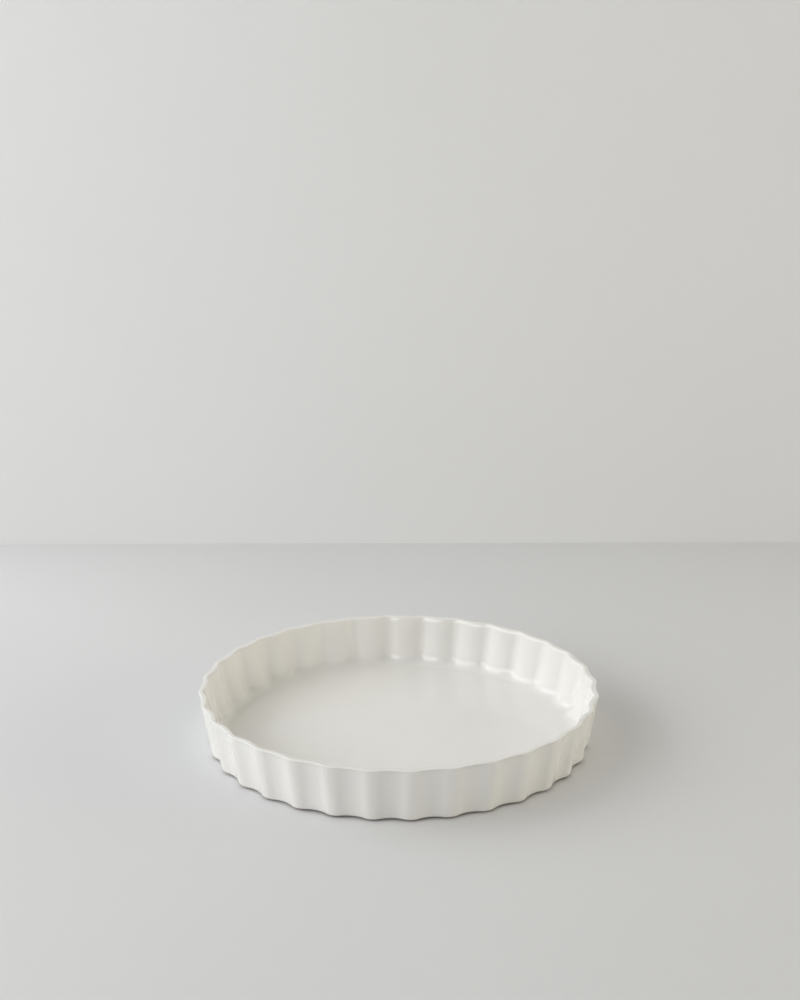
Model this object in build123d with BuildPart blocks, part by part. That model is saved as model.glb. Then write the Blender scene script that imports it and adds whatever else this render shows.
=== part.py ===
from build123d import *
import os
from math import cos, hypot, radians, sin, sqrt

# Fluted quiche dish in glazed stoneware, in millimetres.
# +Z is up. The origin is the middle of the plane that the foot ring rests on,
# and one flute ridge lies on +X. Radii and diameters are taken at the flute ridges.

# whole dish
rim_diameter = 280.0
dish_height = 38.5
wall_flare = 8.25  # how far the wall leans out on its way from the bottom edge to the lip
wall_thickness = 4.1
floor_height = 4.5  # inside floor above the table
floor_inset = 12.25  # from the bottom edge in to the flat round floor, where the corner starts

# flutes: hollow arcs outside that meet in narrower ridges
flute_count = 32
base_flute_depth = 3.1  # ridge to trough at the bottom edge
rim_flute_depth = 2.2  # just under the lip, and inside it
lip_flute_depth = 1.7  # on the outermost line of the lip
base_ridge_radius = 10.0
rim_ridge_radius = 14.9
lip_ridge_radius = 18.6
base_groove_radius = 8.5  # a ridge seen from inside the dish, low on the wall
lip_groove_radius = 11.6

# lip: a soft bead that stands a little proud of the wall outside
lip_thickness = 4.6
lip_bead = 0.5
lip_land = 0.6  # crest left between the two rounded edges
lip_outer_rise = 2.6
lip_inner_rise = 3.4
bead_blend = 1.2
lip_steps = 2

# roundings of the bottom edge outside and of the corner round the floor
edge_radius = 2.2
edge_steps = 1
corner_radius = 7.0
corner_steps = 3
floor_flute_share = 0.03  # trace of the flutes that is left in the edge of the floor

# bare foot ring that the dish stands on, and the hollow inside it
foot_inset = 7.75  # from the bottom edge in to the ring
foot_width = 8.0
foot_height = 1.0
foot_slope = 0.6  # how far each side of the ring leans in on its way down

# coat of glaze, and the clay under it, whose flutes are plain flats because the glaze hides them
glaze_thickness = 0.5
hollow_flats = 4  # flats in one hollow, with one more on each side of a ridge
clay_edge_inset = 2.4  # how far the clay stands back from the flutes of the glaze, under the bottom edge
clay_wall_inset = 0.6  # and at the foot of the wall
clay_rim_inset = 0.95
clay_inside_inset = 1.25
clay_rim_drop = 1.5
clay_corner_share = 0.5  # bend of the clay, on its way through the corner of the glaze

rim_radius = rim_diameter / 2
base_radius = rim_radius - wall_flare
floor_radius = base_radius - floor_inset
foot_radius = base_radius - foot_inset
foot_bore_radius = foot_radius - foot_width
pitch = 360 / flute_count

# heights of the wall and the lip
edge_top = foot_height + edge_radius
corner_top = floor_height + corner_radius
bead_bottom = dish_height - lip_outer_rise
wall_top = bead_bottom - bead_blend
lip_round = (lip_thickness - lip_land) / 2
clay_rim = dish_height - clay_rim_drop
clay_corner_top = corner_top - corner_radius * clay_corner_share
clay_corner_run = sqrt(1 - clay_corner_share**2)
underside = foot_height + glaze_thickness


def flute(ridge, depth, rounding):
    """Radii of one flute at its ridge, where its arcs meet and at its trough, and the meeting angle."""
    half = radians(pitch / 2)
    trough = ridge - depth
    ridge_centre = ridge - rounding
    across = ridge_centre**2 + trough**2 - 2 * ridge_centre * trough * cos(half) - rounding**2
    hollow = across / (2 * (rounding - trough + ridge_centre * cos(half)))
    hollow_centre = trough + hollow
    share = rounding / (rounding + hollow)
    x = ridge_centre + (hollow_centre * cos(half) - ridge_centre) * share
    y = hollow_centre * sin(half) * share
    return ridge, hypot(x, y), trough, Vector(x, y).get_angle(Vector(1, 0))


def grown(outline, distance):
    """The same flute, larger all round by a distance, or smaller where it is negative."""
    ridge, side, trough, angle = outline
    return ridge + distance, side + distance, trough + distance, angle


def faded(outline, radius, share):
    """The share of a flute that is left as it runs out into a plain circle."""
    ridge, side, trough, angle = outline
    left = [radius + (size - radius) * share for size in (ridge, side, trough)]
    return *left, angle


def at(radius, turn):
    return Vector(radius, 0).rotate(Axis.Z, turn)


def section(height, outline):
    """All flutes at one height, each a ridge arc and a trough arc."""
    ridge, side, trough, angle = outline
    with BuildSketch(Plane.XY.offset(height)) as face:
        with BuildLine():
            for turn in (pitch * number for number in range(flute_count)):
                ThreePointArc(at(side, turn - angle), at(ridge, turn), at(side, turn + angle))
                ThreePointArc(at(side, turn + angle), at(trough, turn + pitch / 2), at(side, turn + pitch - angle))
        make_face()
    return face.sketch


def clay_section(height, outline):
    """All flutes of the clay at one height, as flats between points of a flute."""
    ridge, side, trough, angle = outline
    hollow = ThreePointArc(at(side, angle), at(trough, pitch / 2), at(side, pitch - angle))
    corners = [at(ridge, 0)] + [hollow @ (number / hollow_flats) for number in range(hollow_flats + 1)]
    with BuildSketch(Plane.XY.offset(height)) as face:
        with BuildLine():
            turns = [pitch * number for number in range(flute_count)]
            Polyline([corner.rotate(Axis.Z, turn) for turn in turns for corner in corners], close=True)
        make_face()
    return face.sketch


def quarter(steps):
    """Cosine and sine at each step of a quarter turn."""
    angles = [radians(90 * step / steps) for step in range(steps + 1)]
    return [(cos(angle), sin(angle)) for angle in angles]


# outlines of the glazed surface, with the inside wall kept parallel to the outside
rise_share = (corner_top - edge_top) / (wall_top - edge_top)
wall_radius = base_radius + (rim_radius - lip_bead - base_radius) * rise_share
wall_depth = base_flute_depth + (rim_flute_depth - base_flute_depth) * rise_share
inner_radius = wall_radius - wall_thickness
base_outer = flute(base_radius, base_flute_depth, base_ridge_radius)
rim_outer = flute(rim_radius - lip_bead, rim_flute_depth, rim_ridge_radius)
lip_outer = flute(rim_radius, lip_flute_depth, lip_ridge_radius)
lip_inner = flute(rim_radius - lip_thickness, rim_flute_depth, lip_groove_radius)
base_inner = flute(inner_radius, wall_depth, base_groove_radius)

# outside, from the rounded bottom edge up the flared wall and over the bead of the lip
outer_sections = [
    section(edge_top - edge_radius * rise, grown(base_outer, edge_radius * (run - 1)))
    for run, rise in reversed(quarter(edge_steps))
]
outer_sections.append(section(wall_top, rim_outer))
outer_sections += [
    section(bead_bottom + lip_outer_rise * rise, grown(lip_outer, lip_round * (run - 1)))
    for run, rise in quarter(lip_steps)
]

# inside, from the round floor up through the corner, where the flutes grow out of the circle
inner_sections = [section(floor_height, faded(base_inner, floor_radius, floor_flute_share))]
inner_sections += [
    section(corner_top - corner_radius * rise, faded(base_inner, floor_radius, run))
    for run, rise in reversed(quarter(corner_steps)[:-1])
]
inner_sections += [
    section(dish_height - lip_inner_rise * (1 - rise), grown(lip_inner, lip_round * (1 - run)))
    for run, rise in quarter(lip_steps)
]

# the clay under the coat
clay_outer_sections = [
    clay_section(underside, grown(base_outer, -clay_edge_inset)),
    clay_section(edge_top, grown(base_outer, -clay_wall_inset)),
    clay_section(clay_rim, grown(lip_outer, -clay_rim_inset)),
]
clay_inner_sections = [
    clay_section(floor_height - glaze_thickness, faded(base_inner, floor_radius, clay_corner_share)),
    clay_section(clay_corner_top, grown(faded(base_inner, floor_radius, clay_corner_run), clay_inside_inset)),
    clay_section(clay_rim, grown(lip_inner, clay_inside_inset)),
]

with BuildPart() as clay_body:
    loft(sections=clay_outer_sections, ruled=True)
    loft(sections=clay_inner_sections, ruled=True, mode=Mode.SUBTRACT)
    with BuildSketch(Plane.XZ):
        with BuildLine():
            Polyline(
                (foot_bore_radius, underside),
                (foot_bore_radius + foot_slope, 0),
                (foot_radius - foot_slope, 0),
                (foot_radius, underside),
                close=True,
            )
        make_face()
    revolve(axis=Axis.Z)

with BuildPart() as glaze_coat:
    loft(sections=outer_sections, ruled=True)
    loft(sections=inner_sections, ruled=True, mode=Mode.SUBTRACT)
    add(clay_body.part, mode=Mode.SUBTRACT)
    with BuildSketch(Plane.XY.offset(foot_height)):
        Circle(foot_radius)
    extrude(amount=glaze_thickness, mode=Mode.SUBTRACT)

with BuildPart() as underside_glaze:
    with BuildSketch(Plane.XY.offset(foot_height)):
        Circle(foot_bore_radius)
    extrude(amount=glaze_thickness)
    add(clay_body.part, mode=Mode.SUBTRACT)

clay_body.part.label = "clay_body"
glaze_coat.part.label = "glaze_coat"
underside_glaze.part.label = "underside_glaze"

os.makedirs("parts", exist_ok=True)
export_step(clay_body.part, "parts/clay_body.step")
export_step(glaze_coat.part, "parts/glaze_coat.step")
export_step(underside_glaze.part, "parts/underside_glaze.step")
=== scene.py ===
import bpy
from math import atan, atan2, cos, pi, radians, sin, sqrt
from mathutils import Matrix, Vector, noise


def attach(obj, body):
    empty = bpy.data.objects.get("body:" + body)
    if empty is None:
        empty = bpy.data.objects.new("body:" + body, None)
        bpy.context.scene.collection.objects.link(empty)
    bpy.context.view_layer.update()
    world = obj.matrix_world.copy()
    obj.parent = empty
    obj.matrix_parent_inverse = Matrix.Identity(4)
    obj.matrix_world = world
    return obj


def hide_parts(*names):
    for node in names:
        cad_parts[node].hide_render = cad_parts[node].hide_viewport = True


# Fluted quiche dish: white glaze over clay, standing on a pale table by a soft window light.
# Everything is in metres, and the middle of the foot ring stands on the origin.

mm = 0.001
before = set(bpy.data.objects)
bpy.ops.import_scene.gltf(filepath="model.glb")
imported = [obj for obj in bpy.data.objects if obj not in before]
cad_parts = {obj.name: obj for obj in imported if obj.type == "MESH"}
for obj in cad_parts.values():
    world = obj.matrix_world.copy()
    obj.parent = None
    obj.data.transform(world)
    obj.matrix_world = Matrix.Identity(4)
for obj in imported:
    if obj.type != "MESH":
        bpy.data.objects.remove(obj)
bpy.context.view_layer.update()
print("frame loaded")


view = {
    "lens": 70.69,
    "sensor": 36.0,
    "distance": 1.4,  # from the middle of the foot ring
    "elevation": 24.37,
    "turn": -3.54,  # round the dish
    "roll": 0.178,
    "middle": (398.0, 737.0),  # where the middle of the foot ring shows, from the picture's top left
    "picture": (800, 1000),
    "nearest": 0.05,
}


def placeCamera():
    width, height = view["picture"]
    focal = view["lens"] / view["sensor"] * height
    elevation = radians(view["elevation"])
    pitch = elevation - atan((view["middle"][1] - height / 2) / focal)
    yaw = -atan((view["middle"][0] - width / 2) / focal)
    forward = Vector((sin(yaw) * cos(pitch), cos(yaw) * cos(pitch), -sin(pitch)))
    level = Vector((cos(yaw), -sin(yaw), 0))
    under = forward.cross(level)
    roll = radians(view["roll"])
    right = level * cos(roll) + under * sin(roll)
    up = level * sin(roll) - under * cos(roll)
    place = Vector((0, -cos(elevation), sin(elevation))) * view["distance"]
    axes = Matrix((right, up, -forward)).transposed().to_4x4()
    lens = bpy.data.cameras.new("camera")
    lens.lens = view["lens"]
    lens.sensor_width = view["sensor"]
    lens.clip_start = view["nearest"]
    camera = bpy.data.objects.new("camera", lens)
    camera.matrix_world = Matrix.Rotation(radians(view["turn"]), 4, "Z") @ Matrix.Translation(place) @ axes
    bpy.context.scene.collection.objects.link(camera)
    bpy.context.scene.camera = camera


placeCamera()
bpy.context.scene.view_settings.view_transform = "Standard"
print("camera placed")


def newMaterial(name):
    material = bpy.data.materials.new(name)
    material.use_nodes = True
    tree = material.node_tree
    tree.nodes.clear()
    return material, tree


def newGroup(name, inputs, outputs):
    group = bpy.data.node_groups.new(name, "ShaderNodeTree")
    for title, kind, value in inputs:
        socket = group.interface.new_socket(title, in_out="INPUT", socket_type="NodeSocket" + kind)
        if value is not None:
            socket.default_value = value
    for title, kind in outputs:
        group.interface.new_socket(title, in_out="OUTPUT", socket_type="NodeSocket" + kind)
    start = group.nodes.new("NodeGroupInput")
    end = group.nodes.new("NodeGroupOutput")
    return group, start, end


def addNode(tree, kind, **settings):
    node = tree.nodes.new("ShaderNode" + kind)
    for name, value in settings.items():
        setattr(node, name, value)
    return node


def plug(tree, source, target, inputName):
    tree.links.new(source, target.inputs[inputName])


def useGroup(tree, group, **values):
    node = addNode(tree, "Group")
    node.node_tree = group
    for title, value in values.items():
        node.inputs[title].default_value = value
    return node


def addMath(tree, operation, first, second=None, third=None, clamp=False):
    node = addNode(tree, "Math", operation=operation, use_clamp=clamp)
    for place, value in enumerate((first, second, third)):
        if value is None:
            continue
        if isinstance(value, (int, float)):
            node.inputs[place].default_value = value
        else:
            tree.links.new(value, node.inputs[place])
    return node.outputs[0]


def addNoise(tree, where, scale, detail=3.0, roughness=0.5, distortion=0.0):
    node = addNode(tree, "TexNoise")
    for title, value in (("Detail", detail), ("Roughness", roughness), ("Distortion", distortion)):
        node.inputs[title].default_value = value
    if isinstance(scale, (int, float)):
        node.inputs["Scale"].default_value = scale
    else:
        tree.links.new(scale, node.inputs["Scale"])
    tree.links.new(where, node.inputs["Vector"])
    return node.outputs["Fac"]


def addStep(tree, value, low, high, lowTo=0.0, highTo=1.0):
    node = addNode(tree, "MapRange", interpolation_type="SMOOTHSTEP")
    tree.links.new(value, node.inputs["Value"])
    for title, number in (("From Min", low), ("From Max", high), ("To Min", lowTo), ("To Max", highTo)):
        node.inputs[title].default_value = number
    return node.outputs["Result"]


def addBump(tree, height, strength, distance):
    node = addNode(tree, "Bump")
    node.inputs["Strength"].default_value = strength
    node.inputs["Distance"].default_value = distance
    tree.links.new(height, node.inputs["Height"])
    return node.outputs["Normal"]


def finishMaterial(tree, shader):
    end = addNode(tree, "OutputMaterial")
    tree.links.new(shader, end.inputs["Surface"])


def mixColours(tree, share, first, second):
    node = addNode(tree, "Mix", data_type="RGBA")
    tree.links.new(share, node.inputs["Factor"])
    for place, value in ((6, first), (7, second)):  # its two colour sockets
        if isinstance(value, tuple):
            node.inputs[place].default_value = value
        else:
            tree.links.new(value, node.inputs[place])
    return node.outputs[2]


def makeSpeckGroup():
    # scattered round specks, each with its own size; Mask is 1 in a speck
    smallest = 0.35  # added to each speck's own random size
    edge = 0.6  # below 1 for specks with a steep edge
    inputs = [
        ("Vector", "Vector", None),
        ("Scale", "Float", 300.0),
        ("Size", "Float", 0.12),
        ("Share", "Float", 0.3),
    ]
    group, start, end = newGroup("fineSpecks", inputs, [("Mask", "Float")])
    cells = addNode(group, "TexVoronoi")
    for title in ("Vector", "Scale"):
        group.links.new(start.outputs[title], cells.inputs[title])
    chance = addNode(group, "SeparateColor")
    group.links.new(cells.outputs["Color"], chance.inputs["Color"])
    chosen = addMath(group, "LESS_THAN", chance.outputs["Red"], start.outputs["Share"])
    own = addMath(group, "ADD", chance.outputs["Green"], smallest)
    size = addMath(group, "MULTIPLY", start.outputs["Size"], own)
    outward = addMath(group, "DIVIDE", cells.outputs["Distance"], size)
    inside = addMath(group, "SUBTRACT", 1.0, outward, clamp=True)
    soft = addMath(group, "POWER", inside, edge)
    group.links.new(addMath(group, "MULTIPLY", soft, chosen), end.inputs["Mask"])
    return group


def makeFluteGroup():
    # Ridge is 1 on the flute ridges of the wall and 0 in the hollows, Lip is 1 on the crest of the rim,
    # and Foot is 1 under the bottom edge, where the glaze was wiped away to bare clay and where painted contact
    # shade is laid
    wallRadii = 124.5 * mm, 129.0 * mm
    lipHeights = 36.2 * mm, 38.5 * mm
    footHeights = 1.2 * mm, 2.1 * mm
    sharpness = 9.0
    group, start, end = newGroup(
        "fluteMask",
        [("Vector", "Vector", None), ("Flutes", "Float", 32.0)],
        [("Ridge", "Float"), ("Lip", "Float"), ("Foot", "Float")],
    )
    split = addNode(group, "SeparateXYZ")
    group.links.new(start.outputs["Vector"], split.inputs["Vector"])
    around = addMath(group, "ARCTAN2", split.outputs["Y"], split.outputs["X"])
    wave = addMath(group, "COSINE", addMath(group, "MULTIPLY", around, start.outputs["Flutes"]))
    flat = addNode(group, "CombineXYZ")
    group.links.new(split.outputs["X"], flat.inputs["X"])
    group.links.new(split.outputs["Y"], flat.inputs["Y"])
    length = addNode(group, "VectorMath", operation="LENGTH")
    group.links.new(flat.outputs["Vector"], length.inputs[0])
    wall = addStep(group, length.outputs["Value"], *wallRadii)
    sharp = addMath(group, "POWER", addMath(group, "MULTIPLY_ADD", wave, 0.5, 0.5), sharpness)
    group.links.new(addMath(group, "MULTIPLY", sharp, wall), end.inputs["Ridge"])
    group.links.new(addStep(group, split.outputs["Z"], *lipHeights), end.inputs["Lip"])
    group.links.new(addStep(group, split.outputs["Z"], *footHeights, 1.0, 0.0), end.inputs["Foot"])
    return group


def makeMottleGroup():
    # slow change of tone over the surface, from two sizes of cloud; both outputs run from 0 to 1
    cloudEdges = 0.32, 0.68
    group, start, end = newGroup(
        "softMottle",
        [("Vector", "Vector", None), ("Large", "Float", 18.0), ("Small", "Float", 120.0)],
        [("Clouds", "Float"), ("Grain", "Float")],
    )
    place = start.outputs["Vector"]
    large = addNoise(group, place, start.outputs["Large"], detail=2.0, distortion=0.6)
    small = addNoise(group, place, start.outputs["Small"], detail=4.0, roughness=0.55)
    group.links.new(addStep(group, large, *cloudEdges), end.inputs["Clouds"])
    group.links.new(small, end.inputs["Grain"])
    return group


fineSpecks = makeSpeckGroup()
fluteMask = makeFluteGroup()
softMottle = makeMottleGroup()
print("node groups made")


flutes = {
    "count": 32,
    "samples": 32,  # points across one flute, closer together at its ridge
    "crowding": 0.6,  # share of the points that is spread evenly
    "gathering": 2.2,  # how fast the rest come together at the ridge
    "rimRadius": 140.0 * mm,
    "baseRadius": 133.3 * mm,
    "floorRadius": 119.5 * mm,
    "insideRadius": 129.69 * mm,  # ridges of the inside wall where it leaves the corner
    "baseDepth": 3.1 * mm,
    "insideDepth": 2.863 * mm,
    "rimDepth": 2.45 * mm,  # just under the lip
    "lipInsideDepth": 2.2 * mm,
    "lipDepth": 1.7 * mm,
    "baseRounding": 10.0 * mm,
    "insideRounding": 8.5 * mm,
    "rimRounding": 14.9 * mm,
    "lipInsideRounding": 11.6 * mm,
    "lipRounding": 18.6 * mm,
}
heights = {
    "top": 39.5 * mm,
    "underLipInside": 36.1 * mm,
    "bead": 38.8 * mm,
    "underBead": 38.1 * mm,
    "cornerTop": 11.5 * mm,
    "floor": 4.5 * mm,
    "edgeTop": 3.2 * mm,
    "underside": 1.0 * mm,
    "clay": 1.5 * mm,  # underside of the clay, on both sides of the foot ring
}
lip = {
    "thickness": 4.6 * mm,
    "bead": 0.25 * mm,
    "innerRounding": 2.0 * mm,
    "outerRounding": 1.0 * mm,
}


def fluteTurns(samples):
    # angles across one flute from its ridge to the next, crowded towards both ridges
    half = samples // 2
    pitch = 2 * pi / flutes["count"]
    crowding = flutes["crowding"]
    steps = [step / half for step in range(half + 1)]
    near = [crowding * step + (1 - crowding) * step ** flutes["gathering"] for step in steps]
    return [pitch / 2 * share for share in near] + [pitch - pitch / 2 * share for share in reversed(near[1:-1])]


def fluteRing(ridge, depth, rounding, samples):
    # radii round one flute: a hollow arc that meets a narrow rounded ridge
    pitch = 2 * pi / flutes["count"]
    half = pitch / 2
    trough = ridge - depth
    ridgeCentre = ridge - rounding
    across = ridgeCentre**2 + trough**2 - 2 * ridgeCentre * trough * cos(half) - rounding**2
    hollow = across / (2 * (rounding - trough + ridgeCentre * cos(half)))
    hollowCentre = trough + hollow
    share = rounding / (rounding + hollow)
    meetX = ridgeCentre + (hollowCentre * cos(half) - ridgeCentre) * share
    meetAngle = atan2(hollowCentre * sin(half) * share, meetX)
    radii = []
    for turn in fluteTurns(samples):
        fromRidge = min(turn, pitch - turn)
        if fromRidge <= meetAngle:
            aside = ridgeCentre * sin(fromRidge)
            radii.append(ridgeCentre * cos(fromRidge) + sqrt(rounding**2 - aside**2))
        else:
            fromTrough = half - fromRidge
            aside = hollowCentre * sin(fromTrough)
            radii.append(hollowCentre * cos(fromTrough) - sqrt(hollow**2 - aside**2))
    return radii


def mixRings(first, second, share):
    return [a + (b - a) * share for a, b in zip(first, second)]


def moveRing(ring, distance):
    return [radius + distance for radius in ring]


def curvePoints(start, startPull, endPull, end, steps, first=0):
    # points along a smooth curve between two places of the profile
    points = []
    for step in range(first, steps + 1):
        t = step / steps
        weights = ((1 - t) ** 3, 3 * t * (1 - t) ** 2, 3 * t * t * (1 - t), t**3)
        places = list(zip(weights, (start, startPull, endPull, end)))
        points.append(tuple(sum(weight * place[axis] for weight, place in places) for axis in (0, 1)))
    return points


def buildLathe(name, rings, samples, uneven):
    # joins rings of points, each (height, radii over one flute), from one middle point to the other
    turns = fluteTurns(samples)
    pitch = 2 * pi / flutes["count"]
    columns = flutes["count"] * samples
    vertices, faces, starts = [], [], []
    for height, radii in rings:
        starts.append(len(vertices))
        if radii is None:
            vertices.append(Vector((0, 0, height)))
            continue
        for number in range(flutes["count"]):
            for turn, radius in zip(turns, radii):
                angle = number * pitch + turn
                vertices.append(Vector((radius * cos(angle), radius * sin(angle), height)))
    for upper, lower in zip(range(len(rings)), range(1, len(rings))):
        a, b = starts[upper], starts[lower]
        single = rings[upper][1] is None, rings[lower][1] is None
        for column in range(columns):
            following = (column + 1) % columns
            if single[0]:
                faces.append((a, b + column, b + following))
            elif single[1]:
                faces.append((a + column, b, a + following))
            else:
                faces.append((a + column, b + column, b + following, a + following))
    vertices = [uneven(vertex) for vertex in vertices]
    mesh = bpy.data.meshes.new(name)
    mesh.from_pydata(vertices, [], faces)
    mesh.validate()
    mesh.update()
    mesh.shade_smooth()
    piece = bpy.data.objects.new(name, mesh)
    bpy.context.scene.collection.objects.link(piece)
    return piece


baseRing = ("baseRadius", "baseDepth", "baseRounding")
insideRing = ("insideRadius", "insideDepth", "insideRounding")


def ringsOfDish(samples):
    # the four fluted outlines that shape the wall
    rim = flutes["rimRadius"]
    return {
        "base": fluteRing(*(flutes[key] for key in baseRing), samples),
        "rim": fluteRing(rim - lip["bead"], flutes["rimDepth"], flutes["rimRounding"], samples),
        "lip": fluteRing(rim, flutes["lipDepth"], flutes["lipRounding"], samples),
        "lipInside": fluteRing(
            rim - lip["thickness"], flutes["lipInsideDepth"], flutes["lipInsideRounding"], samples
        ),
        "inside": fluteRing(*(flutes[key] for key in insideRing), samples),
    }


glazeCoat = {
    "thickness": 0.45 * mm,
    "floorRings": (0.0, 0.15, 0.35, 0.55, 0.72, 0.85, 0.94),  # shares of the floor's radius
    "cornerSteps": 14,
    "wallSteps": 12,
    "lipSteps": 8,
    "edgeSteps": 8,
    "edgeRounding": 2.2 * mm,
    "pull": 0.6,  # length of the handles that bend the curves of the profile
    "crestPull": 0.42,
    "crestDrop": 0.5,
    "underBeadShares": (0.3, 0.6, 0.82),
    "footRadius": 124.0 * mm,
    "footGap": 0.35 * mm,  # the glaze stops this far from the foot ring
    "footLanding": 0.9 * mm,
    "footRoll": ((0.45, 1.02), (0.16, 1.12), (0.0, 1.32)),  # run and height of its rolled end, in mm
    "backLanding": 0.3 * mm,
    "backDrop": 1.2,  # thickness on the crest of the lip, in thicknesses of the coat
    "backCorner": (9, 6, 3),  # steps of the corner that the back follows
    "backCornerDrop": 0.8,
    "backCornerRun": 0.5,
    "backFloorShare": 0.6,
    "wobble": 0.10 * mm,  # how far the hand-finished surface wanders
    "wobbleSize": 38 * mm,
    "wobbleSeed": 4.1,
    "stillShare": 0.9,  # share of the floor's radius that stays even
    "stillRun": 8 * mm,
    "sag": 0.12 * mm,  # how far the rim dips between its highest places
    "sagStart": 20 * mm,
    "sagRun": 15 * mm,
    "sagStretch": 0.4,
    "sagSeed": 9.7,
}
nearMiddle = 1 * mm


def wander(place, size, seed):
    # slow even unevenness between 0 and 1
    return 0.5 + 0.5 * noise.noise(Vector(place) / size + Vector((seed, seed * 2.3, seed * 0.7)))


def ramp(value, start, run):
    # 0 before the start, 1 after the run, and even in between
    return min(max((value - start) / run, 0), 1)


def unevenGlaze(vertex):
    radius = vertex.xy.length
    if radius < nearMiddle:
        return vertex
    size = glazeCoat["wobbleSize"]
    inward = wander(vertex, size, glazeCoat["wobbleSeed"]) * glazeCoat["wobble"]
    onWall = ramp(radius, glazeCoat["stillShare"] * flutes["floorRadius"], glazeCoat["stillRun"])
    vertex.xy *= 1 - inward * onWall / radius
    rise = ramp(vertex.z, glazeCoat["sagStart"], glazeCoat["sagRun"])
    vertex.z -= rise * glazeCoat["sag"] * wander(vertex * glazeCoat["sagStretch"], size, glazeCoat["sagSeed"])
    return vertex


def glazeRings(samples):
    rings = ringsOfDish(samples)
    floorRadius = flutes["floorRadius"]
    inside = flutes["insideRadius"]
    rim = flutes["rimRadius"]
    top = heights["top"]
    pull = glazeCoat["pull"]
    lean = (rim - lip["thickness"] - inside) / (heights["underLipInside"] - heights["cornerTop"])
    outerLean = (rim - lip["bead"] - flutes["baseRadius"]) / (heights["underBead"] - heights["edgeTop"])
    profile = []

    # flat floor
    for share in glazeCoat["floorRings"]:
        profile.append((heights["floor"], None if share == 0 else [floorRadius * share] * samples))

    # corner, where the flutes grow out of the round edge of the floor
    rise = heights["cornerTop"] - heights["floor"]
    reach = inside - floorRadius
    corner = curvePoints(
        (0, heights["floor"]),
        (pull * (reach - lean * rise), heights["floor"]),
        (reach - pull * lean * rise, heights["cornerTop"] - pull * rise),
        (reach, heights["cornerTop"]),
        glazeCoat["cornerSteps"],
    )
    circle = [floorRadius] * samples
    for run, height in corner:
        profile.append((height, mixRings(circle, rings["inside"], run / reach)))

    # inside wall
    for step in range(1, glazeCoat["wallSteps"] + 1):
        share = step / glazeCoat["wallSteps"]
        height = heights["cornerTop"] + (heights["underLipInside"] - heights["cornerTop"]) * share
        profile.append((height, mixRings(rings["inside"], rings["lipInside"], share)))

    # lip, over its inner edge, its crest and its outer edge
    rise = top - heights["underLipInside"]
    innerLip = curvePoints(
        (0, heights["underLipInside"]),
        (pull * lean * rise, heights["underLipInside"] + pull * rise),
        (lip["innerRounding"] - pull * (lip["innerRounding"] - lean * rise), top),
        (lip["innerRounding"], top),
        glazeCoat["lipSteps"],
        first=1,
    )
    profile += [(height, moveRing(rings["lipInside"], run)) for run, height in innerLip]
    drop = top - heights["bead"]
    outerLip = curvePoints(
        (-lip["outerRounding"], top),
        (-lip["outerRounding"] * glazeCoat["crestPull"], top),
        (0, heights["bead"] + drop * glazeCoat["crestDrop"]),
        (0, heights["bead"]),
        glazeCoat["lipSteps"],
    )
    profile += [(height, moveRing(rings["lip"], run)) for run, height in outerLip]

    # under the bead and down the outside wall
    for share in glazeCoat["underBeadShares"]:
        height = heights["bead"] + (heights["underBead"] - heights["bead"]) * share
        soft = share * share * (3 - 2 * share)
        profile.append((height, mixRings(rings["lip"], rings["rim"], soft)))
    for step in range(glazeCoat["wallSteps"]):
        share = step / glazeCoat["wallSteps"]
        height = heights["underBead"] + (heights["edgeTop"] - heights["underBead"]) * share
        profile.append((height, mixRings(rings["rim"], rings["base"], share)))

    # bottom edge, and in under the dish to the foot ring
    rise = heights["edgeTop"] - heights["underside"]
    bottomEdge = curvePoints(
        (0, heights["edgeTop"]),
        (-pull * outerLean * rise, heights["edgeTop"] - pull * rise),
        (-glazeCoat["edgeRounding"] * (1 - pull) - pull * outerLean * rise, heights["underside"]),
        (-glazeCoat["edgeRounding"], heights["underside"]),
        glazeCoat["edgeSteps"],
    )
    profile += [(height, moveRing(rings["base"], run)) for run, height in bottomEdge]
    stop = glazeCoat["footRadius"] + glazeCoat["footGap"]
    edgeRing = moveRing(rings["base"], -glazeCoat["edgeRounding"])
    for share in (0.5, 1.0):
        landing = [stop + glazeCoat["footLanding"]] * samples
        profile.append((heights["underside"], mixRings(edgeRing, landing, share)))
    for run, height in glazeCoat["footRoll"]:
        profile.append((height * mm, [stop + run * mm] * samples))

    # back of the coat, hidden against the clay
    thick = glazeCoat["thickness"]
    landing = glazeCoat["backLanding"]
    crestBack = top - glazeCoat["backDrop"] * thick
    back = [
        (heights["underside"] + thick, [stop + landing] * samples),
        (heights["underside"] + thick, moveRing(edgeRing, -landing)),
        (heights["edgeTop"], moveRing(rings["base"], -thick)),
        (heights["underBead"], moveRing(rings["rim"], -thick)),
        (heights["bead"], moveRing(rings["lip"], -thick)),
        (crestBack, moveRing(rings["lip"], -lip["outerRounding"])),
        (crestBack, moveRing(rings["lipInside"], lip["innerRounding"])),
        (heights["underLipInside"], moveRing(rings["lipInside"], thick)),
        (heights["cornerTop"], moveRing(rings["inside"], thick)),
    ]
    for step in glazeCoat["backCorner"]:
        run, height = corner[step]
        ring = moveRing(mixRings(circle, rings["inside"], run / reach), thick * glazeCoat["backCornerRun"])
        back.append((height - thick * glazeCoat["backCornerDrop"], ring))
    back.append((heights["floor"] - thick, circle))
    back.append((heights["floor"] - thick, [floorRadius * glazeCoat["backFloorShare"]] * samples))
    back.append((heights["floor"] - thick, None))
    return profile + back


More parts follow.
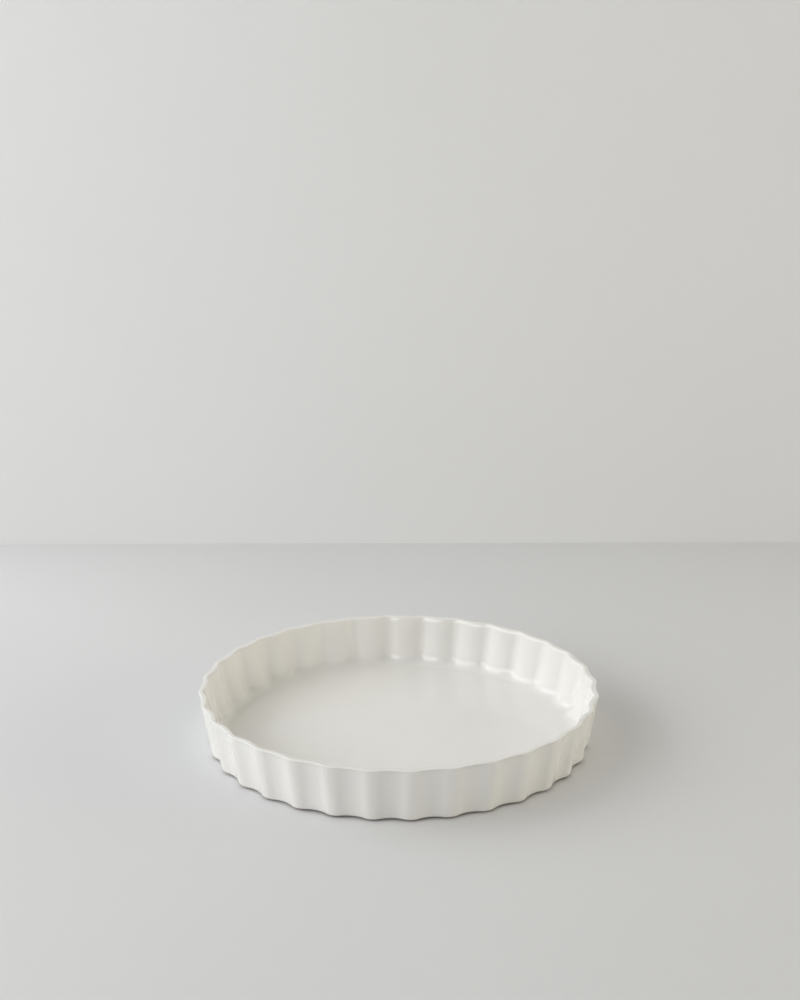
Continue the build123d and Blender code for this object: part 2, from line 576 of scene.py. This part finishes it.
def makeGlaze():
    look = {
        "colour": (0.884, 0.872, 0.840, 1),
        "thin": (0.80, 0.765, 0.69, 1),  # where the glaze runs thin and the clay warms it
        "pooled": (0.893, 0.884, 0.856, 1),
        "speck": (0.42, 0.34, 0.25, 1),
        # bare clay under the bottom edge where the glaze was wiped off, painted far darker than the clay itself
        # as the contact shade where the dish meets the table
        "footClayAndShade": (0.30, 0.22, 0.15, 1),
        "ridgeThinness": 0.08,
        "lipThinness": 0.10,
        "thinEdges": (0.30, 0.72),  # grain that breaks up the thin places
        "thinLeast": 0.45,
        "speckShare": 0.40,
        "footClayAndShadeLeast": 0.62,
        "footClayAndShadeMost": 0.92,
        "footClayAndShadeEdge": (0.08, 0.42),
        "footClayAndShadeGrain": 0.5,
        "waveScale": 42.0,
        "rippleScale": 165.0,
        "ripple": 0.16,
        "pitDepth": 0.10,
        "bump": 0.28,
        "bumpDistance": 0.35 * mm,
        "grainEdges": (0.25, 0.75),
        "roughness": (0.05, 0.12),
        "ior": 1.5,
    }
    material, tree = newMaterial("whiteGlaze")
    place = addNode(tree, "TexCoord").outputs["Object"]
    mottle = useGroup(tree, softMottle, Large=20.0, Small=210.0)
    plug(tree, place, mottle, "Vector")
    shape = useGroup(tree, fluteMask, Flutes=float(flutes["count"]))
    plug(tree, place, shape, "Vector")
    specks = useGroup(tree, fineSpecks, Scale=95.0, Size=0.045, Share=0.16)
    plug(tree, place, specks, "Vector")
    pits = useGroup(tree, fineSpecks, Scale=330.0, Size=0.10, Share=0.10)
    plug(tree, place, pits, "Vector")

    grain = mottle.outputs["Grain"]
    onRidge = addMath(tree, "MULTIPLY", shape.outputs["Ridge"], look["ridgeThinness"])
    onLip = addMath(tree, "MULTIPLY", shape.outputs["Lip"], look["lipThinness"])
    thinness = addMath(tree, "MAXIMUM", onRidge, onLip)
    uneven = addStep(tree, grain, *look["thinEdges"], lowTo=look["thinLeast"])
    broken = addMath(tree, "MULTIPLY", thinness, uneven)
    tone = mixColours(tree, mottle.outputs["Clouds"], look["colour"], look["pooled"])
    tone = mixColours(tree, broken, tone, look["thin"])
    speckShare = addMath(tree, "MULTIPLY", specks.outputs["Mask"], look["speckShare"])
    tone = mixColours(tree, speckShare, tone, look["speck"])
    # under the bottom edge: bare clay darkened into painted contact shade, in ragged patches
    ragged = addMath(tree, "MULTIPLY", grain, look["footClayAndShadeGrain"])
    raggedFootMask = addMath(tree, "SUBTRACT", shape.outputs["Foot"], ragged)
    patchy = addStep(tree, mottle.outputs["Clouds"], 0.0, 1.0, look["footClayAndShadeLeast"], look["footClayAndShadeMost"])
    footClayAndShade = addMath(tree, "MULTIPLY", addStep(tree, raggedFootMask, *look["footClayAndShadeEdge"]), patchy)
    tone = mixColours(tree, footClayAndShade, tone, look["footClayAndShade"])

    waves = addNoise(tree, place, look["waveScale"], detail=2.0, roughness=0.45)
    ripple = addNoise(tree, place, look["rippleScale"], detail=2.0)
    height = addMath(tree, "ADD", waves, addMath(tree, "MULTIPLY", ripple, look["ripple"]))
    pitted = addMath(tree, "MULTIPLY", pits.outputs["Mask"], look["pitDepth"])
    height = addMath(tree, "SUBTRACT", height, pitted)

    shader = addNode(tree, "BsdfPrincipled")
    shader.inputs["IOR"].default_value = look["ior"]
    tree.links.new(tone, shader.inputs["Base Color"])
    gloss = addStep(tree, grain, *look["grainEdges"], *look["roughness"])
    tree.links.new(gloss, shader.inputs["Roughness"])
    tree.links.new(addBump(tree, height, look["bump"], look["bumpDistance"]), shader.inputs["Normal"])
    finishMaterial(tree, shader.outputs[0])
    return material


glazeSkin = buildLathe("glaze_skin", glazeRings(flutes["samples"]), flutes["samples"], unevenGlaze)
glazeSkin.data.materials.append(makeGlaze())
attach(glazeSkin, "root")
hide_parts("glaze_coat")
print("white glaze made:", len(glazeSkin.data.polygons), "faces")


clayBody = {
    "samples": 10,
    "edgeInset": 2.4 * mm,  # how far it stands back from the glaze, under the bottom edge
    "wallInset": 0.6 * mm,
    "rimInset": 0.95 * mm,
    "insideInset": 1.25 * mm,
    "cornerStart": 0.5,  # shares of the way from the floor's edge to the inside wall
    "cornerRun": 0.866,
    "cornerTop": 8.0 * mm,
    "rim": 37.6 * mm,
    "floor": 4.0 * mm,
    "footOuter": 124.0 * mm,
    "footInner": 116.0 * mm,
    "footLean": 0.6 * mm,
    "footSteps": 5,
    "footRounding": 0.55 * mm,
    "footSkirt": 0.4 * mm,  # small hollow where the ring leaves the underside
    "footDip": 0.12 * mm,
    "floorShare": 0.6,
    "middleShare": 0.5,
    "unevenBelow": 1.45 * mm,
    "uneven": 0.12 * mm,
    "unevenSize": 9 * mm,
    "unevenSeed": 2.2,
    "colour": (0.74, 0.68, 0.59, 1),
    "stained": (0.60, 0.53, 0.44, 1),
    "stainedShare": 0.6,
    "grog": (0.36, 0.30, 0.24, 1),
    "grogShare": 0.55,
    "grogDepth": 0.5,
    "bump": 0.8,
    "bumpDistance": 0.12 * mm,
    "grainEdges": (0.2, 0.8),
    "roughness": (0.72, 0.92),
}


def unevenClay(vertex):
    radius = vertex.xy.length
    if vertex.z < clayBody["unevenBelow"] and radius > nearMiddle:
        edge = (wander(vertex, clayBody["unevenSize"], clayBody["unevenSeed"]) - 0.5) * clayBody["uneven"]
        vertex.xy *= 1 + edge / radius
    return vertex


def clayRings(samples):
    rings = ringsOfDish(samples)
    inside = clayBody["insideInset"]
    edge = [flutes["floorRadius"]] * samples
    belowFoot = heights["clay"] - clayBody["footDip"]
    profile = [
        (clayBody["floor"], None),
        (clayBody["floor"], [flutes["floorRadius"] * clayBody["floorShare"]] * samples),
        (clayBody["floor"], mixRings(edge, rings["inside"], clayBody["cornerStart"])),
        (clayBody["cornerTop"], moveRing(mixRings(edge, rings["inside"], clayBody["cornerRun"]), inside)),
        (clayBody["rim"], moveRing(rings["lipInside"], inside)),
        (clayBody["rim"], moveRing(rings["rim"], -clayBody["rimInset"])),
        (heights["edgeTop"], moveRing(rings["base"], -clayBody["wallInset"])),
        (heights["clay"], moveRing(rings["base"], -clayBody["edgeInset"])),
        (heights["clay"], [clayBody["footOuter"] + clayBody["footSkirt"]] * samples),
        (belowFoot, [clayBody["footOuter"]] * samples),
    ]
    rounding = clayBody["footRounding"]
    lean = clayBody["footLean"]
    outer = clayBody["footOuter"] - lean
    inner = clayBody["footInner"] + lean
    angles = [pi / 2 * step / clayBody["footSteps"] for step in range(clayBody["footSteps"] + 1)]
    for angle in angles:
        profile.append((rounding * (1 - sin(angle)), [outer - rounding * (1 - cos(angle))] * samples))
    for angle in reversed(angles):
        profile.append((rounding * (1 - sin(angle)), [inner + rounding * (1 - cos(angle))] * samples))
    profile += [
        (belowFoot, [clayBody["footInner"]] * samples),
        (heights["clay"], [clayBody["footInner"] - clayBody["footSkirt"]] * samples),
        (heights["clay"], [clayBody["footInner"] * clayBody["middleShare"]] * samples),
        (heights["clay"], None),
    ]
    return profile


def makeClay():
    material, tree = newMaterial("bareClay")
    place = addNode(tree, "TexCoord").outputs["Object"]
    mottle = useGroup(tree, softMottle, Large=46.0, Small=900.0)
    plug(tree, place, mottle, "Vector")
    grog = useGroup(tree, fineSpecks, Scale=780.0, Size=0.30, Share=0.22)
    plug(tree, place, grog, "Vector")
    grain = mottle.outputs["Grain"]
    inGrog = grog.outputs["Mask"]
    stained = addMath(tree, "MULTIPLY", mottle.outputs["Clouds"], clayBody["stainedShare"])
    tone = mixColours(tree, stained, clayBody["colour"], clayBody["stained"])
    tone = mixColours(tree, addMath(tree, "MULTIPLY", inGrog, clayBody["grogShare"]), tone, clayBody["grog"])
    height = addMath(tree, "SUBTRACT", grain, addMath(tree, "MULTIPLY", inGrog, clayBody["grogDepth"]))
    shader = addNode(tree, "BsdfPrincipled")
    tree.links.new(tone, shader.inputs["Base Color"])
    gloss = addStep(tree, grain, *clayBody["grainEdges"], *clayBody["roughness"])
    tree.links.new(gloss, shader.inputs["Roughness"])
    tree.links.new(addBump(tree, height, clayBody["bump"], clayBody["bumpDistance"]), shader.inputs["Normal"])
    finishMaterial(tree, shader.outputs[0])
    return material


clayShape = buildLathe("clay_foot_and_wall", clayRings(clayBody["samples"]), clayBody["samples"], unevenClay)
clayShape.data.materials.append(makeClay())
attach(clayShape, "root")
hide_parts("clay_body")
print("bare clay made:", len(clayShape.data.polygons), "faces")


undersideGlaze = {
    "samples": 8,
    "radius": 115.6 * mm,
    "bottom": 1.0 * mm,
    "back": 1.5 * mm,
    "rings": (0.12, 0.3, 0.5, 0.7, 0.86, 0.96),
    "edge": ((0.9, 0.0), (0.45, 0.03), (0.14, 0.13), (0.0, 0.34)),  # roll of the edge, run and rise in mm
    "backGap": 0.4 * mm,
    "uneven": 0.06 * mm,
    "unevenSize": 22 * mm,
    "unevenSeed": 6.4,
    "unevenBelow": 1.4 * mm,
    "rim": 100 * mm,  # outside this radius the edge wanders too
    "rimUneven": 0.35 * mm,
    "rimSize": 7 * mm,
    "rimSeed": 1.9,
    "colour": (0.82, 0.79, 0.72, 1),
    "pooled": (0.855, 0.84, 0.79, 1),
    "speck": (0.40, 0.32, 0.24, 1),
    "speckShare": 0.5,
    "waveScale": 60.0,
    "pitDepth": 0.25,
    "bump": 0.5,
    "bumpDistance": 0.3 * mm,
    "grainEdges": (0.2, 0.8),
    "roughness": (0.16, 0.30),
}


def unevenUnderside(vertex):
    if vertex.z < undersideGlaze["unevenBelow"]:
        rise = wander(vertex, undersideGlaze["unevenSize"], undersideGlaze["unevenSeed"])
        vertex.z += undersideGlaze["uneven"] * rise
    radius = vertex.xy.length
    if radius > undersideGlaze["rim"]:
        inward = wander(vertex, undersideGlaze["rimSize"], undersideGlaze["rimSeed"])
        vertex.xy *= 1 - undersideGlaze["rimUneven"] * inward / radius
    return vertex


def undersideRings(samples):
    radius = undersideGlaze["radius"]
    bottom = undersideGlaze["bottom"]
    back = undersideGlaze["back"]
    profile = [(back, None), (back, [radius - undersideGlaze["backGap"]] * samples)]
    for run, rise in reversed(undersideGlaze["edge"]):
        profile.append((bottom + rise * mm, [radius - run * mm] * samples))
    for share in reversed(undersideGlaze["rings"]):
        profile.append((bottom, [radius * share] * samples))
    profile.append((bottom, None))
    return profile


def makeUndersideGlaze():
    look = undersideGlaze
    material, tree = newMaterial("undersideGlaze")
    place = addNode(tree, "TexCoord").outputs["Object"]
    mottle = useGroup(tree, softMottle, Large=26.0, Small=260.0)
    plug(tree, place, mottle, "Vector")
    specks = useGroup(tree, fineSpecks, Scale=120.0, Size=0.07, Share=0.22)
    plug(tree, place, specks, "Vector")
    pits = useGroup(tree, fineSpecks, Scale=420.0, Size=0.14, Share=0.22)
    plug(tree, place, pits, "Vector")
    tone = mixColours(tree, mottle.outputs["Clouds"], look["colour"], look["pooled"])
    speckShare = addMath(tree, "MULTIPLY", specks.outputs["Mask"], look["speckShare"])
    tone = mixColours(tree, speckShare, tone, look["speck"])
    height = addNoise(tree, place, look["waveScale"])
    pitted = addMath(tree, "MULTIPLY", pits.outputs["Mask"], look["pitDepth"])
    height = addMath(tree, "SUBTRACT", height, pitted)
    shader = addNode(tree, "BsdfPrincipled")
    tree.links.new(tone, shader.inputs["Base Color"])
    gloss = addStep(tree, mottle.outputs["Grain"], *look["grainEdges"], *look["roughness"])
    tree.links.new(gloss, shader.inputs["Roughness"])
    tree.links.new(addBump(tree, height, look["bump"], look["bumpDistance"]), shader.inputs["Normal"])
    finishMaterial(tree, shader.outputs[0])
    return material


samples = undersideGlaze["samples"]
undersideSkin = buildLathe("underside_glaze_skin", undersideRings(samples), samples, unevenUnderside)
undersideSkin.data.materials.append(makeUndersideGlaze())
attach(undersideSkin, "root")
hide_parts("underside_glaze")
print("underside glaze made")


room = {
    "wallDistance": 0.427,  # behind the middle of the dish
    "wallStart": -0.5,  # the wall stops here, so that the window can shine past it
    "tableColour": (0.752, 0.755, 0.763, 1),
    "wallColour": (0.852, 0.855, 0.861, 1),
    "tableRoughness": 0.75,
    "wallRoughness": 0.9,
    "shine": 0.2,
    "patchScale": 3.0,
    "patchEdges": (0.3, 0.7),
    "patchTone": 0.985,
    "reach": 4.0,
    "worldColour": (1.0, 0.985, 0.95, 1),
    "worldStrength": 0.10,
}
# turn is measured from the camera's side of the dish, and is negative towards the left
lamps = {
    "window": {
        "turn": -95.0,
        "elevation": 27.0,
        "distance": 1.8,
        "size": (2.13, 0.9),
        "power": 16.8,
        "colour": (0.97, 0.99, 1.0),
    },
    "window_top": {
        "turn": -85.0,
        "elevation": 50.0,
        "distance": 1.8,
        "size": (1.3, 0.8),
        "power": 5.0,
        "colour": (0.97, 0.99, 1.0),
    },
    "front_left": {
        "turn": -40.0,
        "elevation": 24.0,
        "distance": 2.2,
        "size": (1.3, 1.0),
        "power": 14.0,
        "colour": (1.0, 0.995, 0.985),
    },
    # the fill from the right is soft and broad, and shows no bright edges in the glaze
    "front_right": {
        "turn": 60.0,
        "elevation": 48.0,
        "distance": 2.4,
        "size": (1.3, 1.2),
        "power": 7.6,
        "colour": (1.0, 0.965, 0.87),
        "mirrored": False,
    },
    "right": {
        "turn": 85.0,
        "elevation": 12.0,
        "distance": 2.2,
        "size": (1.4, 0.8),
        "power": 14.2,
        "colour": (1.0, 0.94, 0.78),
        "mirrored": False,
    },
}


def addPlainMaterial(name, colour, roughness, oneSided=False):
    material, tree = newMaterial(name)
    place = addNode(tree, "TexCoord").outputs["Object"]
    patches = addStep(tree, addNoise(tree, place, room["patchScale"]), *room["patchEdges"])
    darker = tuple(channel * room["patchTone"] for channel in colour[:3]) + (1,)
    shader = addNode(tree, "BsdfPrincipled")
    shader.inputs["Roughness"].default_value = roughness
    shader.inputs["Specular IOR Level"].default_value = room["shine"]
    tree.links.new(mixColours(tree, patches, darker, colour), shader.inputs["Base Color"])
    surface = shader.outputs[0]
    if oneSided:
        # clear from behind, so that the dish can be looked at from the back as well
        sides = addNode(tree, "MixShader")
        tree.links.new(addNode(tree, "NewGeometry").outputs["Backfacing"], sides.inputs[0])
        tree.links.new(surface, sides.inputs[1])
        tree.links.new(addNode(tree, "BsdfTransparent").outputs[0], sides.inputs[2])
        surface = sides.outputs[0]
    finishMaterial(tree, surface)
    return material


def addPlane(name, corners, material):
    mesh = bpy.data.meshes.new(name)
    mesh.from_pydata(corners, [], [(0, 1, 2, 3)])
    mesh.materials.append(material)
    plane = bpy.data.objects.new(name, mesh)
    plane.rotation_euler = (0, 0, radians(view["turn"]))
    bpy.context.scene.collection.objects.link(plane)


def addTableAndWall():
    reach = room["reach"]
    back = room["wallDistance"]
    left = room["wallStart"]
    paleTable = addPlainMaterial("paleTable", room["tableColour"], room["tableRoughness"])
    paleWall = addPlainMaterial("paleWall", room["wallColour"], room["wallRoughness"], oneSided=True)
    addPlane("table", [(-reach, -reach, 0), (reach, -reach, 0), (reach, back, 0), (-reach, back, 0)], paleTable)
    addPlane("wall", [(left, back, 0), (reach, back, 0), (reach, back, reach), (left, back, reach)], paleWall)


def addLamp(name, lamp):
    light = bpy.data.lights.new(name, "AREA")
    light.shape = "RECTANGLE"
    light.size, light.size_y = lamp["size"]
    light.energy = lamp["power"]
    light.color = lamp["colour"]
    stand = bpy.data.objects.new(name, light)
    turn = radians(view["turn"] + lamp["turn"] - 90)
    elevation = radians(lamp["elevation"])
    level = cos(elevation)
    stand.location = lamp["distance"] * Vector((cos(turn) * level, sin(turn) * level, sin(elevation)))
    stand.rotation_euler = (-stand.location).to_track_quat("-Z", "Y").to_euler()
    stand.visible_camera = False
    stand.visible_glossy = lamp.get("mirrored", True)
    bpy.context.scene.collection.objects.link(stand)


def setWorld():
    world = bpy.data.worlds.new("room")
    world.use_nodes = True
    sky = world.node_tree.nodes["Background"]
    sky.inputs["Color"].default_value = room["worldColour"]
    sky.inputs["Strength"].default_value = room["worldStrength"]
    bpy.context.scene.world = world


addTableAndWall()
for name, lamp in lamps.items():
    addLamp(name, lamp)
setWorld()
print("table, wall and light placed")
